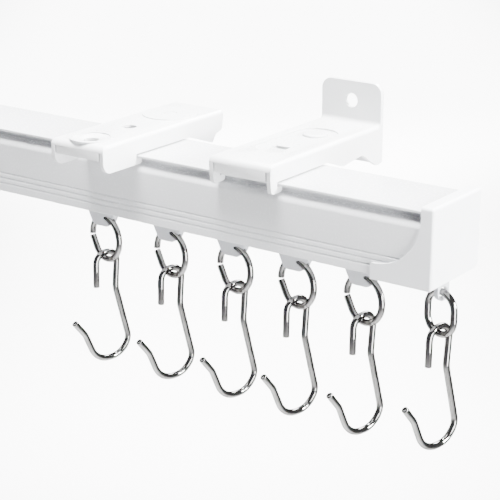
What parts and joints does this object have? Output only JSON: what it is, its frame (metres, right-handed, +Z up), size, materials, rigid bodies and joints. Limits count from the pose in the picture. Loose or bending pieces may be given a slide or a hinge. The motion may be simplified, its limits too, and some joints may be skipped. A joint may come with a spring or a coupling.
{
  "type": "curtain track",
  "caption": "Slotted white curtain track with end caps, a wall bracket, a ceiling bracket, and wheeled runners that carry steel rings and S-shaped hooks.",
  "frame": {"origin": "axis of the wall bracket's screw hole, on the wall plane", "axes": "+X along the track towards its right-hand end as seen from the room, +Y into the wall, +Z up"},
  "size_m": [0.3019, 0.0863, 0.1136],
  "materials": {
    "rail": "white powder coat, satin",
    "cap": "white moulded, soft gloss",
    "bracket": "white enamel over pressed steel",
    "lock_plate": "white enamel over pressed steel",
    "rivet": "white enamel",
    "runner": "light grey moulded",
    "wheel": "white moulded",
    "axle": "drawn steel pin",
    "wire": "bright drawn and plated steel wire"
  },
  "bodies": {
    "track": {"track_rail": "rail", "end_cap_right": "cap", "end_cap_left": "cap", "wall_bracket": "bracket", "ceiling_bracket": "bracket", "wall_lock_rivet": "rivet", "ceiling_lock_rivet": "rivet", "end_eye": "runner"},
    "wall_lock": {"wall_lock_plate": "lock_plate"},
    "ceiling_lock": {"ceiling_lock_plate": "lock_plate"},
    "runner_1": {"runner_1": "runner"},
    "wheels_1": {"axle_1": "axle", "wheel_front_1": "wheel", "wheel_back_1": "wheel"},
    "ring_1": {"ring_1": "wire"},
    "hook_1": {"hook_1": "wire"},
    "runner_2": {"runner_2": "runner"},
    "wheels_2": {"axle_2": "axle", "wheel_front_2": "wheel", "wheel_back_2": "wheel"},
    "ring_2": {"ring_2": "wire"},
    "hook_2": {"hook_2": "wire"},
    "runner_3": {"runner_3": "runner"},
    "wheels_3": {"axle_3": "axle", "wheel_front_3": "wheel", "wheel_back_3": "wheel"},
    "ring_3": {"ring_3": "wire"},
    "hook_3": {"hook_3": "wire"},
    "runner_4": {"runner_4": "runner"},
    "wheels_4": {"axle_4": "axle", "wheel_front_4": "wheel", "wheel_back_4": "wheel"},
    "ring_4": {"ring_4": "wire"},
    "hook_4": {"hook_4": "wire"},
    "runner_5": {"runner_5": "runner"},
    "wheels_5": {"axle_5": "axle", "wheel_front_5": "wheel", "wheel_back_5": "wheel"},
    "ring_5": {"ring_5": "wire"},
    "hook_5": {"hook_5": "wire"},
    "end_link": {"end_link": "wire"},
    "end_hook": {"end_hook": "wire"}
  },
  "joints": [
    {"name": "wall_lock_slide", "type": "slide", "parent": "track", "child": "wall_lock", "axis": [0, 1, 0], "range_m": [0, 0.0052]},
    {"name": "ceiling_lock_slide", "type": "slide", "parent": "track", "child": "ceiling_lock", "axis": [0, 1, 0], "range_m": [0, 0.0052]},
    {"name": "runner_1_slide", "type": "slide", "parent": "track", "child": "runner_1", "axis": [1, 0, 0], "range_m": [-0.1297, 0.0118]},
    {"name": "wheels_1_spin", "type": "hinge", "parent": "runner_1", "child": "wheels_1", "pos_m": [-0.0789, -0.053, -0.0335], "axis": [0, 1, 0], "range_deg": [-1492, 141]},
    {"name": "ring_1_turn", "type": "hinge", "parent": "runner_1", "child": "ring_1", "pos_m": [-0.0782, -0.053, -0.05525], "axis": [0.225, 0.9744, 0], "range_deg": [-20, 20]},
    {"name": "hook_1_swing", "type": "hinge", "parent": "ring_1", "child": "hook_1", "pos_m": [-0.0782, -0.053, -0.06375], "axis": [0.9744, -0.225, 0], "range_deg": [-35, 35]},
    {"name": "runner_2_slide", "type": "slide", "parent": "track", "child": "runner_2", "axis": [1, 0, 0], "range_m": [-0.0118, 0.0094]},
    {"name": "wheels_2_spin", "type": "hinge", "parent": "runner_2", "child": "wheels_2", "pos_m": [-0.0467, -0.053, -0.0335], "axis": [0, 1, 0], "range_deg": [-141, 113]},
    {"name": "ring_2_turn", "type": "hinge", "parent": "runner_2", "child": "ring_2", "pos_m": [-0.046, -0.053, -0.05525], "axis": [0.225, 0.9744, 0], "range_deg": [-20, 20]},
    {"name": "hook_2_swing", "type": "hinge", "parent": "ring_2", "child": "hook_2", "pos_m": [-0.046, -0.053, -0.06375], "axis": [0.9744, -0.225, 0], "range_deg": [-35, 35]},
    {"name": "runner_3_slide", "type": "slide", "parent": "track", "child": "runner_3", "axis": [1, 0, 0], "range_m": [-0.0094, 0.007]},
    {"name": "wheels_3_spin", "type": "hinge", "parent": "runner_3", "child": "wheels_3", "pos_m": [-0.0168, -0.053, -0.0335], "axis": [0, 1, 0], "range_deg": [-113, 86]},
    {"name": "ring_3_turn", "type": "hinge", "parent": "runner_3", "child": "ring_3", "pos_m": [-0.0161, -0.053, -0.05525], "axis": [0.225, 0.9744, 0], "range_deg": [-20, 20]},
    {"name": "hook_3_swing", "type": "hinge", "parent": "ring_3", "child": "hook_3", "pos_m": [-0.0161, -0.053, -0.06375], "axis": [0.9744, -0.225, 0], "range_deg": [-35, 35]},
    {"name": "runner_4_slide", "type": "slide", "parent": "track", "child": "runner_4", "axis": [1, 0, 0], "range_m": [-0.007, 0.0076]},
    {"name": "wheels_4_spin", "type": "hinge", "parent": "runner_4", "child": "wheels_4", "pos_m": [0.0106, -0.053, -0.0335], "axis": [0, 1, 0], "range_deg": [-86, 93]},
    {"name": "ring_4_turn", "type": "hinge", "parent": "runner_4", "child": "ring_4", "pos_m": [0.0113, -0.053, -0.05525], "axis": [0.225, 0.9744, 0], "range_deg": [-20, 20]},
    {"name": "hook_4_swing", "type": "hinge", "parent": "ring_4", "child": "hook_4", "pos_m": [0.0113, -0.053, -0.06375], "axis": [0.9744, -0.225, 0], "range_deg": [-35, 35]},
    {"name": "runner_5_slide", "type": "slide", "parent": "track", "child": "runner_5", "axis": [1, 0, 0], "range_m": [-0.0076, 0.0128]},
    {"name": "wheels_5_spin", "type": "hinge", "parent": "runner_5", "child": "wheels_5", "pos_m": [0.0386, -0.053, -0.0335], "axis": [0, 1, 0], "range_deg": [-93, 152]},
    {"name": "ring_5_turn", "type": "hinge", "parent": "runner_5", "child": "ring_5", "pos_m": [0.0393, -0.053, -0.05525], "axis": [0.225, 0.9744, 0], "range_deg": [-20, 20]},
    {"name": "hook_5_swing", "type": "hinge", "parent": "ring_5", "child": "hook_5", "pos_m": [0.0393, -0.053, -0.06375], "axis": [0.9744, -0.225, 0], "range_deg": [-35, 35]},
    {"name": "end_link_sway", "type": "hinge", "parent": "track", "child": "end_link", "pos_m": [0.0694, -0.053, -0.04615], "axis": [-0.225, -0.9744, 0], "range_deg": [-12, 12]},
    {"name": "end_hook_swing", "type": "hinge", "parent": "end_link", "child": "end_hook", "pos_m": [0.0694, -0.053, -0.06125], "axis": [0.9744, -0.225, 0], "range_deg": [-35, 35]}
  ],
  "couplings": [
    {"joint": "wheels_1_spin", "follows": "runner_1_slide", "rad_per_m": 200},
    {"joint": "wheels_2_spin", "follows": "runner_2_slide", "rad_per_m": 200},
    {"joint": "wheels_3_spin", "follows": "runner_3_slide", "rad_per_m": 200},
    {"joint": "wheels_4_spin", "follows": "runner_4_slide", "rad_per_m": 200},
    {"joint": "wheels_5_spin", "follows": "runner_5_slide", "rad_per_m": 200}
  ]
}
